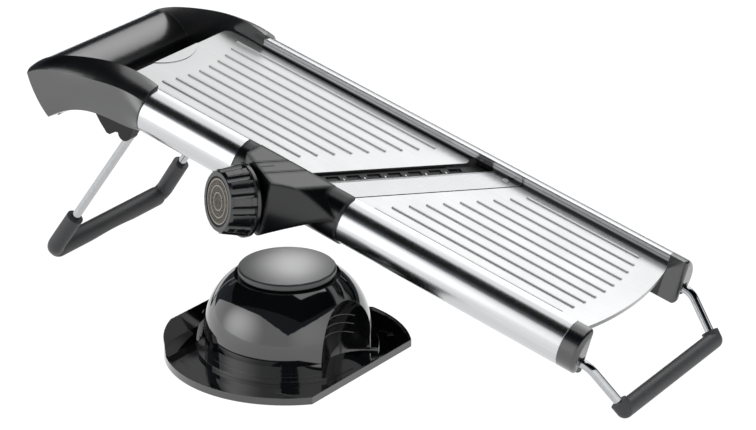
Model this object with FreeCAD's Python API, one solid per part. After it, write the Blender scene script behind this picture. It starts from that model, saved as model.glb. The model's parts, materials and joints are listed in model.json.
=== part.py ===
import FreeCAD, Part
import math
import os

# Mandoline slicer with its food holder, in millimetres.
# Deck frame: u runs along the rails from the handle down to the front foot,
# v runs from the near rail to the far rail, w stands square to the deck with 0 at the rail tops.
# Cut frame: s runs square to the blade, t runs along the blade toward the far rail, w as above.
# World frame: the deck frame tipped by the deck slope and raised to stand on its feet at z = 0.

# Deck and rails
deck_slope = 15.25
deck_height = 130.5
rail_length = 300.0
rail_gap = 110.6
rail_depth = 29.0
rail_width = 15.5
rail_wall = 1.2
plug_length = 22.0
plug_clearance = 0.1
half_gap = rail_gap / 2

# Handle: each arm section is x and then the reach and height of the crease and of the lower outer
# edge, between the top and the underside. Reach is outward from the rail's flat inner wall and
# heights are from the rail tops at the handle end.
arm_inset = 0.7
arm_bulge = 0.8
arm_root_rise = 2.2
arm_root_skin = 0.8
arm_sections = [
    (-20.0, 9.4, (14.0, 0.9), (12.5, -22.5), -24.0),
    (-45.0, 10.5, (11.8, 1.2), (10.5, -20.5), -22.0),
    (-68.0, 8.0, (10.0, 0.4), (9.0, -26.0), -27.5),
    (-100.0, -9.0, (8.2, -11.5), (7.4, -45.0), -46.0),
]
arm_crease_angle = 35.0
arm_lower_angle = -50.0
grip_back_top = (-93.8, -5.3)
grip_back_middle = (-87.6, -19.0)
grip_crown = (-79.0, 3.3)
grip_brow = (-66.5, -3.0)
grip_front = (-60.5, -12.0)
grip_toe = (-62.5, -22.0)
grip_back_bottom = (-77.0, -32.6)
grip_back_margin = 30.0
web_front = -9.0
web_top = -17.0
web_thickness = 4.0

# End caps
cap_length = 12.0
cap_round = 3.0

# Decks
deck_drop = 6.3
sheet = 1.2
feeder_side_clearance = 1.0
feeder_top_edge = -27.0
feeder_corner = 5.0
thumb_mark_radius = 34.0
thumb_mark_depth = 8.0
thumb_mark_rise = 0.5
ridge_count = 10
ridge_pitch = 10.16
ridge_width = 2.2
ridge_height = 0.9
feeder_ridge_top = -3.8
feeder_ridge_bow = 115.0
feeder_ridge_margin = 18.4
outlet_ridge_margin = 13.6
outlet_ridge_end = rail_length - 9.4
outlet_ridge_bow = 177.0
outlet_reach = rail_length + 7.8
outlet_corner_reach = rail_length + 1.0
outlet_lip = 2.8
outlet_flange = 5.0
outlet_flange_end = rail_length - 4.0

# Cut: every line is a distance s square to the blade
cut_angle = 29.0
feeder_edge = 117.2
slit = 9.6
blade_width = 18.4
blade_thickness = 1.2
blade_bevel = 2.6
blade_edge_drop = 0.5
blade_end_clearance = 0.2
deck_joint = 0.9
blade_edge = feeder_edge + slit
blade_back = blade_edge + blade_width
bed_setback = 8.0
bed_overlap = 15.0
bed_depth = 9.0
screw_from_edge = 11.9
screw_from_rail = 4.0
screw_head_radius = 2.2
screw_head_height = 0.5
screw_radius = 1.4
screw_length = 7.0

# Feeder hinge and frame
hinge_u = -20.0
hinge_drop = 12.0
hinge_pin_radius = 2.0
hinge_clearance = 0.06
knuckle_radius = 3.6
knuckle_half = 7.0
post_gap = 0.4
post_length = 5.0
post_half_width = 4.5
post_top_clearance = 1.8
max_slice = 8.0
frame_side_margin = 4.0
frame_edge_margin = 0.2
frame_thickness = 0.8
rib_at = 34.0
rib_width = 3.0
rib_depth = 3.5
rib_end_margin = 22.0

# Thickness drive
shaft_setback = -1.7
shaft_drop = 21.0
shaft_radius = 2.5
shaft_clearance = 0.08
rail_hole_clearance = 0.3
knob_range = 240.0
cam_clearance = 0.6
cam_width = 6.0
cam_lead = 5.0
cam_steps = 26
near_cam_inset = 10.5
far_cam_inset = 19.4
bush_radius = 4.5
bush_proud = 0.6
bush_depth = 5.0
bush_clearance = 0.05
shaft_end_gap = 1.5

# Knob and its housing
knob_offset = 31.0
knob_length = 17.2
knob_flange = 2.2
knob_base_radius = 21.9
knob_step = 1.0
knob_front_radius = 18.9
knob_nose = 1.6
knob_scallops = 12
scallop_radius = 4.2
scallop_depth = 1.5
badge_radius = 14.8
badge_thickness = 1.2
badge_recess = 1.4
badge_clearance = 0.1
knob_gap = 0.6
neck_radius = 15.0
neck_length = 3.5
knob_pocket_clearance = 0.8
housing_upstream = 35.3
housing_downstream = 41.9
housing_skin = 1.0
housing_inner_edge = 1.2
housing_top = 1.5
housing_bottom = -36.0
boss_upstream = 15.9
boss_downstream = 18.1
flank_mid = (17.7, -22.9)
top_slope_start = 24.0
top_slope = 0.6
belly_start = (1.7, -35.0)
belly_end = (16.7, -25.0)
panel_line_at = (-4.4, 6.9)
panel_line_width = 0.6
panel_line_depth = 0.5

# Julienne bar, which hangs from the feeder's edge, and the comb that rises through its slots
bar_clearance = 1.5
bar_top = 8.0
bar_thickness = 1.8
bar_lip = 6.5
bar_end_clearance = 1.0
web_count = 8
web_pitch = 14.0
web_offset = 1.8
window_length = 8.6
window_width = 4.0
window_depth = 0.9
bar_cam_clearance = 0.4
bar_cam_side = 1.0
comb_tooth_count = 7
comb_rise = 4.5
comb_setback = 3.9
comb_margin = 0.8
comb_base = 2.2
comb_end = 1.0
tooth_thickness = 0.8
tooth_clearance = 0.12

# Feet
wire_radius = 2.7
wire_bend = 7.0
pivot_bend = 3.0
leg_pivot = (-21.0, deck_height - 31.0)
leg_inner = 51.0
leg_pivot_reach = 9.0
pivot_clearance = 0.08
rear_bar_x = -85.9
rear_bar_half = 56.5
rear_sleeve_top = 32.0
rear_sleeve_radius = 5.4
rear_bar_radius = 6.3
rear_bar_end = 6.0
rear_arch_half = 27.0
rear_arch_height = 2.7
foot_height = 5.9
sleeve_clearance = 0.05
bracket_inner_gap = 1.0
bracket_width = 8.0
bracket_side = [(-44.5, -18.5), (-39.0, -27.1), (-34.3, -33.0), (-32.0, -33.5), (-27.5, -31.0)]
bracket_front = [(-16.0, -31.5), (-11.0, -18.5)]
bracket_boss_radius = 4.6
front_wire_v = 61.4
front_pivot_u = rail_length + 6.0
front_pivot_drop = 19.5
front_pivot_reach = 5.0
front_knee_u = rail_length + 17.5
front_bar_forward = 30.45
front_foot_height = 4.9
front_bar_half = 54.5
front_knee_bend = 14.0
front_corner_bend = 4.5
front_sleeve_stub = 5.5
front_sleeve_radius = 5.2
slot_clearance = 0.4

# Food holder
holder_at = (114.5, -86.5)
holder_turn = -3.2
brim_radius = 72.5
brim_right = 54.5
brim_left = 68.0
brim_top = 3.6
brim_sheet = 2.0
brim_trim_distance = 54.0
brim_trim_angle = 125.0
rim_width = 1.2
rim_height = 0.8
raised_from = 45.5
raised_end = 14.0
raised_height = 7.4
raised_run = 3.5
raised_gap = 0.5
food_opening = 38.0
dome_radius = 48.4
dome_centre = 12.4
dome_flatten = -1.2
dome_wall = 2.2
dome_flange = 53.5
flange_height = 2.0
flange_gap = 0.3
dome_shoulder = 31.0
scoop_at = 57.0
scoop_radius = 26.5
scoop_top = 52.0
pusher_radius = 22.5
pusher_clearance = 0.5
pusher_wall = 2.0
cap_radius = 28.6
cap_gap = 0.5
cap_thickness = 4.2
cap_crown = 1.4
cap_edge = 0.8
plate_radius = 26.0
plate_bottom = 9.0
plate_thickness = 3.0
pin_ring = 16.0
pin_ring_count = 6
pin_radius = 1.2
pin_length = 6.0
pin_tip = 2.5

# Values worked out from the sizes above
deck_top = -deck_drop
deck_under = deck_top - sheet
tan_cut = math.tan(math.radians(cut_angle))
cos_cut = math.cos(math.radians(cut_angle))
sin_cut = math.sin(math.radians(cut_angle))
shaft_s = feeder_edge - shaft_setback
hinge_s = hinge_u * cos_cut
hinge_t = hinge_u * sin_cut
frame_under = deck_under - frame_thickness
cam_top_radius = shaft_drop + frame_under - cam_clearance
max_tilt = math.asin(max_slice / (feeder_edge - hinge_s))
cam_fall = (shaft_s - hinge_s) * math.sin(max_tilt)
near_wall_t = (shaft_s * sin_cut - half_gap) / cos_cut
far_wall_t = (shaft_s * sin_cut + half_gap) / cos_cut
shaft_u = (shaft_s - half_gap * sin_cut) / cos_cut
near_cam_at = near_wall_t + near_cam_inset
far_cam_at = far_wall_t - far_cam_inset
knob_back = near_wall_t - knob_offset
shaft_front = knob_back - knob_length + badge_recess + knob_nose
boss_face = knob_back + knob_gap + neck_length
housing_start = shaft_u - housing_upstream
housing_end = shaft_u + housing_downstream
web_mid = (near_wall_t + far_wall_t) / 2 + web_offset
far = 400.0


def V(x, y, z):
    return FreeCAD.Vector(x, y, z)


def prism(points, direction):
    """Straight-sided solid from a closed outline of points."""
    outline = Part.makePolygon(points + [points[0]])
    return Part.Face(outline).extrude(direction)


def block(x0, x1, y0, y1, z0, z1):
    return Part.makeBox(x1 - x0, y1 - y0, z1 - z0, V(x0, y0, z0))


def from_cut(shape):
    """Cut frame to deck frame."""
    shape.rotate(V(0, 0, 0), V(0, 0, 1), -cut_angle)
    return shape


def to_world(shape):
    """Deck frame to world frame."""
    shape.rotate(V(0, 0, 0), V(0, 1, 0), deck_slope)
    shape.translate(V(0, 0, deck_height))
    return shape


def lean(u, v, w):
    """World point of a deck point."""
    slope = math.radians(deck_slope)
    x = u * math.cos(slope) + w * math.sin(slope)
    z = -u * math.sin(slope) + w * math.cos(slope) + deck_height
    return V(x, v, z)


def rod(radius, start, end):
    return Part.makeCylinder(radius, (end - start).Length, start, end - start)


def bent_path(points, bends):
    """Wire through the points with each inner corner rounded to its own bend radius."""
    edges = []
    start = points[0]
    for before, corner, after, bend in zip(points, points[1:], points[2:], bends):
        back = (before - corner).normalize()
        ahead = (after - corner).normalize()
        half = back.getAngle(ahead) / 2
        inset = bend / math.tan(half)
        middle = (back + ahead).normalize() * (bend / math.sin(half) - bend)
        arc_start = corner + back * inset
        arc_end = corner + ahead * inset
        edges.append(Part.makeLine(start, arc_start))
        edges.append(Part.Arc(arc_start, corner + middle, arc_end).toShape())
        start = arc_end
    edges.append(Part.makeLine(start, points[-1]))
    return Part.Wire(edges)


def bent_rod(points, bends, radius):
    path = bent_path(points, bends)
    ring = Part.makeCircle(radius, points[0], points[1] - points[0])
    return path.makePipeShell([Part.Wire(ring)], True, False)


def d_wire(start, side, grow):
    """Rail outline at one place along u, flat toward the deck and round outward."""
    inner = side * (half_gap - grow)
    outer = side * (half_gap + rail_width + grow)
    top = V(start, inner, grow)
    bottom = V(start, inner, -rail_depth - grow)
    round_side = Part.Arc(top, V(start, outer, -rail_depth / 2), bottom).toShape()
    return Part.Wire([round_side, Part.makeLine(bottom, top)])


def d_bar(start, end, side, grow):
    return Part.Face(d_wire(start, side, grow)).extrude(V(end - start, 0, 0))


def shaft_bore(radius):
    """Round bar along the cam shaft's line, in the deck frame."""
    return from_cut(rod(radius, V(shaft_s, -far, -shaft_drop), V(shaft_s, far, -shaft_drop)))


def rail(side):
    tube = d_bar(0, rail_length, side, 0).cut(d_bar(0, rail_length, side, -rail_wall))
    if side < 0:
        tube = tube.cut(shaft_bore(shaft_radius + rail_hole_clearance))
    else:
        tube = tube.cut(bush_solid(bush_clearance))
    return to_world(tube)


def rail_plug(start, end, side):
    return d_bar(start, end, side, -rail_wall - plug_clearance)


def arm_root(side):
    """Outline a little larger than the rail's end, cut into the same four edges as the arm sections."""
    half_depth = (rail_depth + arm_root_rise) / 2
    width = rail_width + arm_root_skin
    radius = (half_depth * half_depth + width * width) / (2 * width)
    middle_v = half_gap + width - radius
    middle_w = arm_root_rise - half_depth

    def on_round(degrees):
        angle = math.radians(degrees)
        return V(0, side * (middle_v + radius * math.cos(angle)), middle_w + radius * math.sin(angle))

    top = V(0, side * half_gap, arm_root_rise)
    bottom = V(0, side * half_gap, -rail_depth)
    crease = on_round(arm_crease_angle)
    lower = on_round(arm_lower_angle)
    over = on_round((90 + arm_crease_angle) / 2)
    beside = on_round((arm_crease_angle + arm_lower_angle) / 2)
    under = on_round((arm_lower_angle - 90) / 2)
    return to_world(Part.Wire([
        Part.Arc(top, over, crease).toShape(), Part.Arc(crease, beside, lower).toShape(),
        Part.Arc(lower, under, bottom).toShape(), Part.makeLine(bottom, top)]))


def arm_section(side, x, rise, crease_place, lower_place, drop):
    inner = side * (half_gap + arm_inset)
    top = V(x, inner, deck_height + rise)
    crease = V(x, side * (half_gap + crease_place[0]), deck_height + crease_place[1])
    lower = V(x, side * (half_gap + lower_place[0]), deck_height + lower_place[1])
    bottom = V(x, inner, deck_height + drop)
    over = (top + crease) * 0.5 + V(0, side, 1) * arm_bulge
    beside = (crease + lower) * 0.5 + V(0, side, 0) * arm_bulge
    return Part.Wire([
        Part.Arc(top, over, crease).toShape(), Part.Arc(crease, beside, lower).toShape(),
        Part.makeLine(lower, bottom), Part.makeLine(bottom, top)])


def handle_arm(side):
    """Arm that grows out of the rail section and sweeps back to the grip."""
    wires = [arm_root(side)] + [arm_section(side, *section) for section in arm_sections]
    return Part.makeLoft(wires, True, False)


def grip_point(place, y):
    return V(place[0], y, deck_height + place[1])


def grip_bar():
    """Rounded cross bar between the arms."""
    y = -half_gap - arm_inset
    places = [grip_back_top, grip_crown, grip_brow, grip_front, grip_toe]
    crown = Part.BSplineCurve()
    crown.interpolate([grip_point(place, y) for place in places])
    back_top = grip_point(grip_back_top, y)
    back_bottom = grip_point(grip_back_bottom, y)
    edges = [
        crown.toShape(), Part.makeLine(grip_point(grip_toe, y), back_bottom),
        Part.makeLine(back_bottom, back_top),
    ]
    return Part.Face(Part.Wire(edges)).extrude(V(0, -2 * y, 0))


def behind_grip():
    """Everything behind the rounded back face of the handle."""
    top = grip_point(grip_back_top, -far)
    middle = grip_point(grip_back_middle, -far)
    bottom = grip_point(grip_back_bottom, -far)
    over = top + (top - middle).normalize() * grip_back_margin
    under = bottom + (bottom - middle).normalize() * grip_back_margin
    back = over.x - grip_back_margin
    face = Part.Arc(top, middle, bottom).toShape()
    rest = Part.makePolygon([bottom, under, V(back, -far, under.z), V(back, -far, over.z), over, top])
    return Part.Face(Part.Wire([face] + rest.Edges)).extrude(V(0, 2 * far, 0))


def hinge_posts():
    """Two posts that hold the ends of the feeder's hinge pin, in the deck frame."""
    posts = []
    for side in (-1, 1):
        near_end = knuckle_half + post_gap
        ends = sorted([hinge_t + side * near_end, hinge_t + side * (near_end + post_length)])
        left = hinge_s - post_half_width
        right = hinge_s + post_half_width
        post_foot = -hinge_drop - rail_depth / 2
        posts.append(block(left, right, ends[0], ends[1], post_foot, deck_under - post_top_clearance))
    return from_cut(posts[0].fuse(posts[1]).cut(hinge_rod(0)))


def hinge_rod(grow):
    half = knuckle_half + post_gap + post_length
    start = V(hinge_s, hinge_t - half, -hinge_drop)
    return rod(hinge_pin_radius + grow, start, start + V(0, 2 * half, 0))


def handle():
    side_reach = half_gap + 2 * arm_inset
    underside = deck_height + web_top - web_thickness
    web = block(grip_toe[0], web_front, -side_reach, side_reach, underside, deck_height + web_top)
    posts = to_world(hinge_posts())
    posts = posts.cut(block(-far, far, -far, far, -far, underside))
    plugs = [to_world(rail_plug(-arm_inset, plug_length, side)) for side in (-1, 1)]
    arms = [handle_arm(side) for side in (-1, 1)]
    body = grip_bar().multiFuse(arms + [web]).cut(behind_grip())
    return body.multiFuse(plugs + [posts]).removeSplitter()


def hinge_pin():
    return to_world(from_cut(hinge_rod(0)))


def end_cap(side):
    """Rounded cap with a plug in the rail and a slot in which the front wire swings."""
    end = rail_length + cap_length
    body = d_bar(rail_length, end, side, 0)
    rim = [edge for edge in body.Edges if edge.BoundBox.XMin > end - cap_round]
    body = body.makeFillet(cap_round, rim)
    body = body.fuse(rail_plug(rail_length - plug_length, rail_length, side))
    reach = wire_radius + slot_clearance
    middle = side * front_wire_v
    left = front_pivot_u - reach
    roof = -front_pivot_drop + reach
    slot = block(left, end + reach, middle - reach, middle + reach, -2 * rail_depth, roof)
    pivot = V(front_pivot_u, middle, -front_pivot_drop)
    bore_end = pivot + V(0, side * (front_pivot_reach + slot_clearance), 0)
    bore = rod(wire_radius + pivot_clearance, pivot, bore_end)
    return to_world(body.cut(slot).cut(bore))


def cut_strip(start, end, low, high):
    """Slanted strip between two lines parallel to the blade, in the deck frame."""
    return from_cut(block(start, end, -far, far, low, high))


def bead(v, start, end):
    """Raised ridge with a rounded back and rounded ends, on top of the deck."""
    half = ridge_width / 2
    left = V(0, -half, 0)
    crown = V(0, 0, ridge_height)
    right = V(0, half, 0)
    back = Part.Wire([Part.Arc(left, crown, right).toShape(), Part.makeLine(right, left)])
    body = Part.Face(back).extrude(V(end - start, 0, 0))
    lens = Part.Face(back).common(Part.Face(Part.makePolygon(
        [V(0, 0, 0), V(0, half, 0), V(0, half, ridge_height), V(0, 0, ridge_height), V(0, 0, 0)])))
    tip = lens.revolve(V(0, 0, 0), V(0, 0, 1), 360)
    far_tip = tip.copy()
    far_tip.translate(V(end - start, 0, 0))
    ridge = body.multiFuse([tip, far_tip])
    ridge.translate(V(start, v, deck_top))
    return ridge


def ridge_lines():
    return [(k - (ridge_count - 1) / 2) * ridge_pitch for k in range(ridge_count)]


def feeder_deck():
    """Upper plate: square top edge, slanted lower edge, ridges and a half-moon thumb mark."""
    half = half_gap - feeder_side_clearance
    plate = block(feeder_top_edge, far, -half, half, deck_under, deck_top)
    plate = plate.cut(cut_strip(feeder_edge, far, deck_under, deck_top))
    corners = [edge for edge in plate.Edges if edge.BoundBox.XLength < frame_thickness
               and edge.BoundBox.YLength < frame_thickness]
    plate = plate.makeFillet(feeder_corner, corners)
    ridges = []
    for v in ridge_lines():
        start = feeder_ridge_top - v * v / (2 * feeder_ridge_bow)
        end = (feeder_edge - feeder_ridge_margin) / cos_cut + v * tan_cut
        ridges.append(bead(v, start, end))
    centre = feeder_top_edge + thumb_mark_depth - thumb_mark_radius
    mark = Part.makeCylinder(thumb_mark_radius, thumb_mark_rise, V(centre, 0, deck_top))
    mark = mark.cut(block(-far, feeder_top_edge, -far, far, deck_top, deck_top + thumb_mark_rise))
    return to_world(plate.multiFuse(ridges + [mark]))


def outlet_edge(inset, low, high):
    """Plate region inside the arched front edge, in the deck frame."""
    half = half_gap
    bow = outlet_reach - outlet_corner_reach
    left = V(outlet_corner_reach - inset, -half, low)
    right = V(outlet_corner_reach - inset, half, low)
    arch = Part.Arc(left, V(outlet_corner_reach + bow - inset, 0, low), right).toShape()
    back_right = V(0, half, low)
    back_left = V(0, -half, low)
    sides = Part.makePolygon([right, back_right, back_left, left])
    return Part.Face(Part.Wire([arch] + sides.Edges)).extrude(V(0, 0, high - low))


def outlet_deck():
    """Lower plate with side flanges along the rails and a turned-down arched lip."""
    start = blade_back + deck_joint
    plate = outlet_edge(0, deck_under, deck_top)
    lip = outlet_edge(0, deck_top - outlet_lip, deck_top)
    lip = lip.cut(outlet_edge(sheet, deck_top - outlet_lip, deck_top))
    lip = lip.cut(block(0, rail_length, -far, far, deck_top - outlet_lip, deck_top))
    flanges = []
    for side in (-1, 1):
        edges = sorted([side * half_gap, side * (half_gap - sheet)])
        flange_low = deck_top - outlet_flange
        flanges.append(block(0, outlet_flange_end, edges[0], edges[1], flange_low, deck_top))
    ridges = []
    for v in ridge_lines():
        begin = (blade_back + outlet_ridge_margin) / cos_cut + v * tan_cut
        end = outlet_ridge_end - v * v / (2 * outlet_ridge_bow)
        ridges.append(bead(v, begin, end))
    deck = plate.multiFuse(flanges + [lip])
    deck = deck.cut(cut_strip(-far, start, deck_top - rail_depth, deck_top))
    bed_end = blade_back + bed_overlap + deck_joint
    under_bed = cut_strip(-far, bed_end, deck_under - bed_depth - outlet_flange, deck_under)
    return to_world(deck.cut(under_bed).multiFuse(ridges))


def blade():
    """Steel strip with a bevelled upstream edge."""
    top = deck_top
    under = deck_top - blade_thickness
    tip = top - blade_edge_drop
    outline = [
        V(blade_edge, -far, tip), V(blade_edge + blade_bevel, -far, top), V(blade_back, -far, top),
        V(blade_back, -far, under), V(blade_edge + blade_bevel, -far, under),
    ]
    strip = from_cut(prism(outline, V(0, 2 * far, 0)))
    half = half_gap - blade_end_clearance
    strip = strip.common(block(-far, far, -half, half, -far, far))
    return to_world(strip.cut(blade_screw_solid(0)))


def screw_place():
    s = blade_edge + screw_from_edge
    v = half_gap - screw_from_rail
    u = (s + v * sin_cut) / cos_cut
    return u, v


def blade_screw_solid(grow):
    u, v = screw_place()
    head = Part.makeCylinder(screw_head_radius, screw_head_height, V(u, v, deck_top))
    shank = Part.makeCylinder(screw_radius + grow, screw_length, V(u, v, deck_top - screw_length))
    return head.fuse(shank)


def blade_screw():
    return to_world(blade_screw_solid(0))


def blade_bed():
    """Cross bar that carries the blade and the upper edge of the outlet deck."""
    start = blade_edge + bed_setback
    end = blade_back + bed_overlap
    under = deck_top - blade_thickness
    joint = blade_back + deck_joint / 2
    low = deck_under - bed_depth
    bar = cut_strip(start, joint, low, under).fuse(cut_strip(joint, end, low, deck_under))
    bar = bar.common(block(-far, far, -half_gap, half_gap, -far, far))
    return to_world(bar.cut(blade_screw_solid(0)))


def feeder_frame():
    """Thin frame under the feeder deck with two ribs and the hinge knuckle."""
    half = half_gap - feeder_side_clearance - frame_side_margin
    start = hinge_u - knuckle_radius
    plate = block(start, far, -half, half, frame_under, deck_under)
    plate = plate.cut(cut_strip(feeder_edge - frame_edge_margin, far, frame_under, deck_under))
    pieces = []
    for side in (-1, 1):
        edges = sorted([side * rib_at, side * (rib_at + rib_width)])
        rib = block(0, far, edges[0], edges[1], frame_under - rib_depth, deck_under)
        limit = shaft_s - rib_end_margin
        pieces.append(rib.cut(cut_strip(limit, far, frame_under - rib_depth, deck_under)))
    low = V(hinge_s, hinge_t - knuckle_half, -hinge_drop)
    barrel = rod(knuckle_radius, low, low + V(0, 2 * knuckle_half, 0))
    neck = block(hinge_s - knuckle_radius, hinge_s + knuckle_radius,
                 hinge_t - knuckle_half, hinge_t + knuckle_half, -hinge_drop, deck_under)
    knuckle = from_cut(barrel.fuse(neck))
    body = plate.multiFuse(pieces + [knuckle])
    return to_world(body.cut(from_cut(hinge_rod(hinge_clearance))))


def cam(place):
    """Disc whose radius falls evenly over the knob's turn."""
    swing = math.radians(knob_range + cam_lead)
    lead = math.radians(cam_lead)
    fall_rate = cam_fall / math.radians(knob_range)
    points = []
    for step in range(cam_steps + 1):
        angle = -lead + (swing + lead) * step / cam_steps
        radius = cam_top_radius - fall_rate * max(angle, 0)
        s = shaft_s + radius * math.sin(angle)
        w = -shaft_drop + radius * math.cos(angle)
        points.append(V(s, place - cam_width / 2, w))
    spiral = Part.BSplineCurve()
    spiral.interpolate(points)
    outline = Part.Wire([spiral.toShape(), Part.makeLine(points[-1], points[0])])
    disc = Part.Face(outline).extrude(V(0, cam_width, 0))
    return to_world(from_cut(disc).cut(shaft_bore(shaft_radius)))


def cam_shaft():
    end = far_wall_t + (bush_depth - shaft_end_gap) / cos_cut - shaft_radius * tan_cut
    start = V(shaft_s, shaft_front, -shaft_drop)
    return to_world(from_cut(rod(shaft_radius, start, V(shaft_s, end, -shaft_drop))))


def bush_solid(grow):
    """Slanted plug through the far rail's inner wall, in the deck frame."""
    plug = from_cut(rod(bush_radius + grow, V(shaft_s, 0, -shaft_drop), V(shaft_s, far, -shaft_drop)))
    return plug.common(block(-far, far, half_gap - bush_proud, half_gap + bush_depth, -far, far))


def shaft_bearing():
    """Bush set in the far rail that carries the shaft's end."""
    return to_world(bush_solid(0).cut(shaft_bore(shaft_radius + shaft_clearance)))


def thickness_knob():
    """Fluted knob, its round face outward along -t."""
    outward = V(0, -1, 0)
    base = V(shaft_s, knob_back, -shaft_drop)
    barrel_radius = knob_base_radius - knob_step
    barrel_length = knob_length - knob_flange - knob_nose
    flange = Part.makeCylinder(knob_base_radius, knob_flange, base, outward)
    barrel_base = base + outward * knob_flange
    barrel = Part.makeCone(barrel_radius, knob_front_radius, barrel_length, barrel_base, outward)
    nose_base = barrel_base + outward * barrel_length
    nose = Part.makeCone(knob_front_radius, knob_front_radius - knob_nose, knob_nose, nose_base, outward)
    face = nose_base + outward * knob_nose
    flutes = []
    for k in range(knob_scallops):
        angle = 2 * math.pi * (k + 0.5) / knob_scallops
        away = V(math.sin(angle), 0, math.cos(angle))
        back_reach = barrel_radius + scallop_radius - scallop_depth
        front_reach = knob_front_radius + scallop_radius - scallop_depth
        flutes.append(rod(scallop_radius, barrel_base + away * back_reach, face + away * front_reach))
    recess = rod(badge_radius + badge_clearance, face - outward * badge_recess, face + outward)
    body = flange.multiFuse([barrel, nose]).removeSplitter().cut(flutes[0].multiFuse(flutes[1:]))
    shaft_end = V(shaft_s, shaft_front, -shaft_drop)
    bore = rod(shaft_radius, shaft_end, base - outward)
    return to_world(from_cut(body.cut(recess).cut(bore)))


def knob_badge():
    seat = V(shaft_s, knob_back - knob_length + badge_recess, -shaft_drop)
    return to_world(from_cut(rod(badge_radius, seat, seat - V(0, badge_thickness, 0))))


def deck_of_cut(s, t):
    """Deck u and v of a point in the cut frame."""
    return s * cos_cut + t * sin_cut, t * cos_cut - s * sin_cut


def boss_outline(w):
    """Plan of the housing's boss: a face square to the shaft and a hollow flank back to the rail."""
    corner = deck_of_cut(shaft_s + boss_downstream, boss_face)
    upstream = deck_of_cut(shaft_s - boss_upstream, boss_face)
    inner = -half_gap - housing_inner_edge
    outer = -half_gap - rail_width - housing_skin
    tail = V(housing_end, outer, w)
    hollow = V(shaft_u + flank_mid[0], flank_mid[1] - half_gap, w)
    flank = Part.Arc(tail, hollow, V(corner[0], corner[1], w)).toShape()
    rest = Part.makePolygon([
        V(corner[0], corner[1], w), V(upstream[0], upstream[1], w), V(upstream[0], inner, w),
        V(housing_end, inner, w), tail])
    return Part.Face(Part.Wire([flank] + rest.Edges))


def housing_top_cut():
    """Wedge above the housing's sloping downstream top, in the deck frame."""
    start = shaft_s + top_slope_start
    low = V(start, -far, housing_top)
    high = V(start, -far, housing_top + far * top_slope)
    end_low = V(start + far, -far, housing_top - far * top_slope)
    end_high = V(start + far, -far, housing_top + far * top_slope)
    return from_cut(prism([low, end_low, end_high, high], V(0, 2 * far, 0)))


def housing_belly_cut():
    """Everything below the boss's rising underside, in the deck frame."""
    rise = (belly_end[1] - belly_start[1]) / (belly_end[0] - belly_start[0])
    start = shaft_u + belly_start[0]
    back = V(start - far, -far, belly_start[1] - far * rise)
    front = V(start + far, -far, belly_start[1] + far * rise)
    return prism([back, front, V(front.x, -far, back.z - far), V(back.x, -far, back.z - far)],
                 V(0, 2 * far, 0))


def knob_housing():
    """Shell over the near rail with a boss that carries the knob."""
    sleeve = d_bar(housing_start, housing_end, -1, housing_skin)
    boss = boss_outline(housing_bottom).extrude(V(0, 0, housing_top - housing_bottom))
    boss = boss.cut(housing_top_cut()).cut(housing_belly_cut())
    body = sleeve.fuse(boss).cut(d_bar(0, rail_length, -1, 0))
    inner = -half_gap - housing_inner_edge
    body = body.cut(block(-far, far, inner, far, -far, far))
    body = body.cut(block(-far, far, -far, far, housing_top, far))
    for offset in panel_line_at:
        middle = shaft_s + offset
        low = housing_top - panel_line_depth
        line = block(middle - panel_line_width / 2, middle + panel_line_width / 2, -far, far, low, far)
        body = body.cut(from_cut(line))
    neck_start = V(shaft_s, boss_face, -shaft_drop)
    neck = rod(neck_radius, neck_start, neck_start - V(0, neck_length, 0))
    pocket = rod(knob_base_radius + knob_pocket_clearance, neck_start - V(0, neck_length, 0),
                 neck_start - V(0, far, 0))
    body = body.cut(from_cut(pocket)).fuse(from_cut(neck))
    return to_world(body.cut(shaft_bore(shaft_radius + shaft_clearance)))


def bar_sides():
    return feeder_edge + bar_clearance, blade_edge - bar_clearance


def web_places():
    return [web_mid + (k - (web_count - 1) / 2) * web_pitch for k in range(web_count)]


def comb_sides():
    left, right = bar_sides()
    return left + comb_setback, right - comb_margin


def tooth_block(t, grow):
    """One tooth of the comb, its top level with the bar while lowered."""
    left, right = comb_sides()
    half = tooth_thickness / 2 + grow
    low = -bar_top - bar_thickness - comb_rise
    return block(left - grow, right + grow, t - half, t + half, low, -bar_top)


def julienne_bar():
    """Bar in the slit with a slot for each tooth, shallow windows and a lip under the feeder's frame."""
    left, right = bar_sides()
    low = -bar_top - bar_thickness
    bar = block(left, right, -far, far, low, -bar_top)
    middle = (left + right) / 2
    webs = web_places()
    openings = [tooth_block(t, tooth_clearance) for t in webs[:comb_tooth_count]]
    for t in webs[:-1]:
        centre = t + web_pitch / 2
        openings.append(block(middle - window_width / 2, middle + window_width / 2,
                              centre - window_length / 2, centre + window_length / 2,
                              -bar_top - window_depth, -bar_top))
    cam_reach = cam_width / 2 + bar_cam_side
    lip = block(left - bar_lip, left, near_cam_at + cam_reach, far_cam_at - cam_reach, low, frame_under)
    bar = bar.fuse(lip).cut(openings[0].multiFuse(openings[1:]))
    for place in (near_cam_at, far_cam_at):
        start = V(shaft_s, place - cam_reach, -shaft_drop)
        bar = bar.cut(rod(cam_top_radius + bar_cam_clearance, start, start + V(0, 2 * cam_reach, 0)))
    half = half_gap - bar_end_clearance
    return to_world(from_cut(bar).common(block(-far, far, -half, half, -far, far)))


def julienne_comb():
    """Steel comb: a base strip below the bar and upright teeth between the cams."""
    left, right = comb_sides()
    places = web_places()[:comb_tooth_count]
    top = -bar_top - bar_thickness - comb_rise
    base = block(left, right, places[0] - comb_end, places[-1] + comb_end, top - comb_base, top)
    return to_world(from_cut(base.multiFuse([tooth_block(t, 0) for t in places])))


def rear_corner(side):
    return V(rear_bar_x, side * rear_bar_half, foot_height)


def rear_pivot(side):
    return V(leg_pivot[0], side * leg_inner, leg_pivot[1])


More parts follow.
